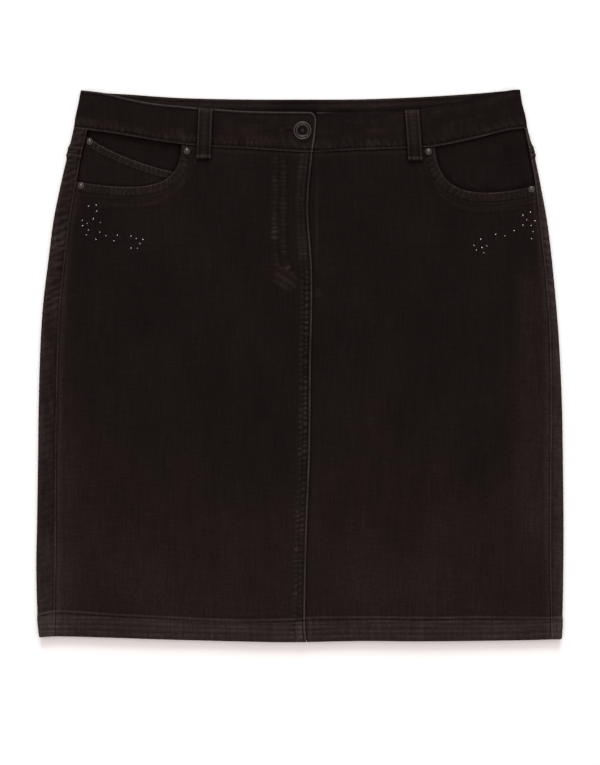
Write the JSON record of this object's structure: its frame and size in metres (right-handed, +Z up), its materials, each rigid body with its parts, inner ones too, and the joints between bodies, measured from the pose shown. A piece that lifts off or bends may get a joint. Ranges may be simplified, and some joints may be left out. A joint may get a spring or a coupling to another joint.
{
  "type": "denim skirt",
  "caption": "Knee-length straight denim skirt laid flat on its back, with a closed front opening, scoop pockets, a coin pocket, belt loops and a turned hem.",
  "frame": {"origin": "on the surface that the skirt lies on, under the middle of its outline", "axes": "+Y runs up the cloth from hem to waist, +X points to the wearer's left side, and +Z points up out of the front"},
  "size_m": [0.5262, 0.5512, 0.0105],
  "materials": {
    "denim": "washed black twill, matt",
    "thread": "black topstitching thread, slight sheen",
    "zip_tape": "matt woven tape",
    "gunmetal": "dark gunmetal with worn bright edges",
    "crystal": "small faceted stones"
  },
  "bodies": {
    "root": {"waistband": "denim", "front_right": "denim", "front_left": "denim", "pocket_facing_right": "denim", "pocket_facing_left": "denim", "coin_pocket": "denim", "yoke_right": "denim", "yoke_left": "denim", "back_right": "denim", "back_left": "denim", "zip": "zip_tape", "belt_loop_right": "denim", "belt_loop_left": "denim", "rivet_coin_pocket": "gunmetal", "rivet_right_top": "gunmetal", "rivet_right_side": "gunmetal", "rivet_left_top": "gunmetal", "rivet_left_side": "gunmetal", "button": "gunmetal"}
  },
  "joints": []
}
